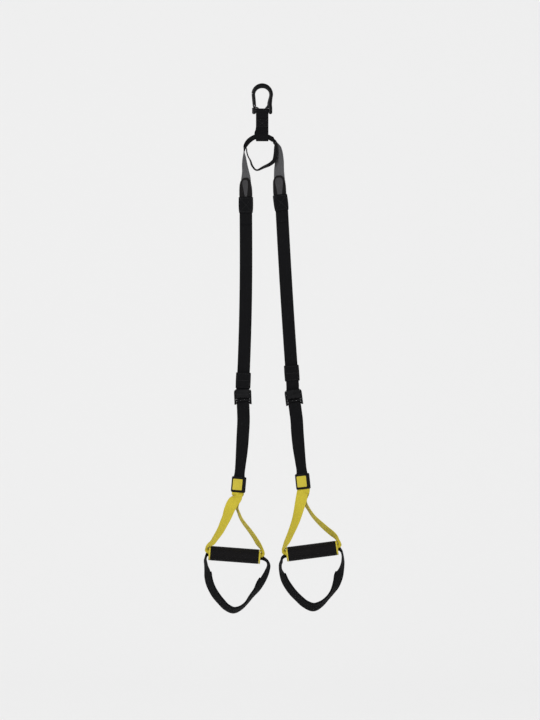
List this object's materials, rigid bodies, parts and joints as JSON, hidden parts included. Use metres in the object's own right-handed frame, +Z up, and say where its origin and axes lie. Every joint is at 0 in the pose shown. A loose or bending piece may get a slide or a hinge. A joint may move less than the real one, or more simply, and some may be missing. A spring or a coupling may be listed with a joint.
{
  "type": "suspension trainer",
  "caption": "Suspension trainer: adjustable webbing arms with cam buckles, rubber grips and foot cradles, hung from one carabiner.",
  "frame": {"origin": "inside top of the carabiner's bow, where the trainer hangs", "axes": "+Z up along the hanging straps, +Y away from the viewer of the front, +X to the right in the front view"},
  "size_m": [0.4462, 0.0444, 1.6564],
  "materials": {
    "black_anodised_metal": "satin",
    "steel": "satin",
    "black_webbing": "matte",
    "grey_webbing": "matte",
    "yellow_webbing": "matte",
    "black_rubber": "matte",
    "grey_insert": "matte",
    "yellow_plastic": "satin",
    "black_plastic": "satin"
  },
  "bodies": {
    "carabiner": {"carabiner_frame": "black_anodised_metal", "gate_pin": "steel"},
    "gate": {"carabiner_gate": "black_anodised_metal", "gate_spring": "steel", "gate_plunger": "steel"},
    "anchor": {"anchor_strap": "black_webbing"},
    "equalizer": {"equalizer_crown": "black_webbing", "stabilizing_loop": "black_webbing"},
    "left_lead": {"left_equalizer_arm": "grey_webbing", "left_wear_patch": "black_rubber", "left_patch_insert": "grey_insert", "left_top_sleeve": "black_webbing"},
    "left_strap": {"left_main_strap": "black_webbing"},
    "left_buckle": {"left_buckle_body": "black_anodised_metal", "left_cam_pin": "steel", "left_cam_spring": "steel", "left_strap_return": "black_webbing"},
    "left_tab": {"left_adjustment_tab": "black_webbing"},
    "left_lever": {"left_cam_lever": "black_anodised_metal"},
    "left_lower": {"left_handle_strap": "black_webbing", "left_label_wrap": "black_rubber", "left_label_panel": "yellow_plastic"},
    "left_handle": {"left_handle_loop": "yellow_webbing"},
    "left_grip": {"left_grip_core": "black_plastic", "left_grip_sleeve": "black_rubber", "left_left_cap": "yellow_plastic", "left_right_cap": "yellow_plastic"},
    "left_cradle": {"left_foot_cradle": "black_webbing", "left_cradle_pad": "black_webbing"},
    "right_lead": {"right_equalizer_arm": "grey_webbing", "right_wear_patch": "black_rubber", "right_patch_insert": "grey_insert", "right_top_sleeve": "black_webbing"},
    "right_strap": {"right_main_strap": "black_webbing"},
    "right_buckle": {"right_buckle_body": "black_anodised_metal", "right_cam_pin": "steel", "right_cam_spring": "steel", "right_strap_return": "black_webbing"},
    "right_tab": {"right_adjustment_tab": "black_webbing"},
    "right_lever": {"right_cam_lever": "black_anodised_metal"},
    "right_lower": {"right_handle_strap": "black_webbing", "right_label_wrap": "black_rubber", "right_label_panel": "yellow_plastic"},
    "right_handle": {"right_handle_loop": "yellow_webbing"},
    "right_grip": {"right_grip_core": "black_plastic", "right_grip_sleeve": "black_rubber", "right_left_cap": "yellow_plastic", "right_right_cap": "yellow_plastic"},
    "right_cradle": {"right_foot_cradle": "black_webbing", "right_cradle_pad": "black_webbing"}
  },
  "joints": [
    {"name": "gate_open", "type": "hinge", "parent": "carabiner", "child": "gate", "pos_m": [-0.0242, 0, -0.0555], "axis": [0, 1, 0], "range_deg": [0, 25], "stiffness_Nm_per_rad": 0.08, "springref_deg": -28.65},
    {"name": "anchor_swing", "type": "hinge", "parent": "carabiner", "child": "anchor", "pos_m": [0, 0, -0.0705], "axis": [1, 0, 0], "range_deg": [-60, 60]},
    {"name": "equalizer_slip", "type": "hinge", "parent": "anchor", "child": "equalizer", "pos_m": [-0.0019, 0, -0.2041], "axis": [0, 1, 0], "range_deg": [-5, 5]},
    {"name": "left_spread", "type": "hinge", "parent": "equalizer", "child": "left_lead", "pos_m": [-0.05488, 0, -0.19476], "axis": [0, 1, 0], "range_deg": [0, 35]},
    {"name": "left_swing", "type": "hinge", "parent": "left_lead", "child": "left_strap", "pos_m": [-0.051, 0, -0.3907], "axis": [1, 0, 0], "range_deg": [-60, 60]},
    {"name": "left_buckle_slide", "type": "slide", "parent": "left_strap", "child": "left_buckle", "axis": [0.0174, 0, 0.9998], "range_m": [0, 0.23], "deforming": ["left_main_strap"]},
    {"name": "left_tab_slide", "type": "slide", "parent": "left_buckle", "child": "left_tab", "axis": [0.0174, 0, 0.9998], "range_m": [0, 0.23], "deforming": ["left_strap_return"]},
    {"name": "left_lever_press", "type": "hinge", "parent": "left_buckle", "child": "left_lever", "pos_m": [-0.06084, -0.0121, -0.95471], "axis": [-0.9994, 0, -0.0349], "range_deg": [0, 25], "stiffness_Nm_per_rad": 0.1, "springref_deg": -28.65},
    {"name": "left_handle_swing", "type": "hinge", "parent": "left_buckle", "child": "left_lower", "pos_m": [-0.05985, 0, -0.9832], "axis": [0.9994, 0, 0.0349], "range_deg": [-45, 45]},
    {"name": "left_handle_twist", "type": "hinge", "parent": "left_lower", "child": "left_handle", "pos_m": [-0.07561, 0, -1.26091], "axis": [0.0872, 0, 0.9962], "range_deg": [-60, 60], "stiffness_Nm_per_rad": 0.02},
    {"name": "left_grip_spin", "type": "hinge", "parent": "left_handle", "child": "left_grip", "pos_m": [-0.08615, 0, -1.4585], "axis": [0.9972, 0, -0.075], "continuous": true},
    {"name": "left_cradle_swing", "type": "hinge", "parent": "left_handle", "child": "left_cradle", "pos_m": [-0.08615, 0, -1.4585], "axis": [0.9972, 0, -0.075], "range_deg": [-45, 45]},
    {"name": "right_spread", "type": "hinge", "parent": "equalizer", "child": "right_lead", "pos_m": [0.04147, 0, -0.16835], "axis": [0, -1, 0], "range_deg": [0, 35]},
    {"name": "right_swing", "type": "hinge", "parent": "right_lead", "child": "right_strap", "pos_m": [0.0615, 0, -0.3832], "axis": [0.9925, 0, 0.1219], "range_deg": [-60, 60]},
    {"name": "right_buckle_slide", "type": "slide", "parent": "right_strap", "child": "right_buckle", "axis": [-0.0623, 0, 0.9981], "range_m": [0, 0.23], "deforming": ["right_main_strap"]},
    {"name": "right_tab_slide", "type": "slide", "parent": "right_buckle", "child": "right_tab", "axis": [-0.0623, 0, 0.9981], "range_m": [0, 0.23], "deforming": ["right_strap_return"]},
    {"name": "right_lever_press", "type": "hinge", "parent": "right_buckle", "child": "right_lever", "pos_m": [0.09725, -0.0121, -0.95629], "axis": [-0.9914, 0, -0.1305], "range_deg": [0, 25], "stiffness_Nm_per_rad": 0.1, "springref_deg": -28.65},
    {"name": "right_handle_swing", "type": "hinge", "parent": "right_buckle", "child": "right_lower", "pos_m": [0.10097, 0, -0.98454], "axis": [0.9914, 0, 0.1305], "range_deg": [-45, 45]},
    {"name": "right_handle_twist", "type": "hinge", "parent": "right_lower", "child": "right_handle", "pos_m": [0.12923, 0, -1.25102], "axis": [-0.1045, 0, 0.9945], "range_deg": [-60, 60], "stiffness_Nm_per_rad": 0.02},
    {"name": "right_grip_spin", "type": "hinge", "parent": "right_handle", "child": "right_grip", "pos_m": [0.15567, 0, -1.44664], "axis": [0.9917, 0, 0.1288], "continuous": true},
    {"name": "right_cradle_swing", "type": "hinge", "parent": "right_handle", "child": "right_cradle", "pos_m": [0.15567, 0, -1.44664], "axis": [0.9917, 0, 0.1288], "range_deg": [-45, 45]}
  ],
  "couplings": [
    {"joint": "left_tab_slide", "follows": "left_buckle_slide", "ratio": 1},
    {"joint": "right_tab_slide", "follows": "right_buckle_slide", "ratio": 1}
  ]
}
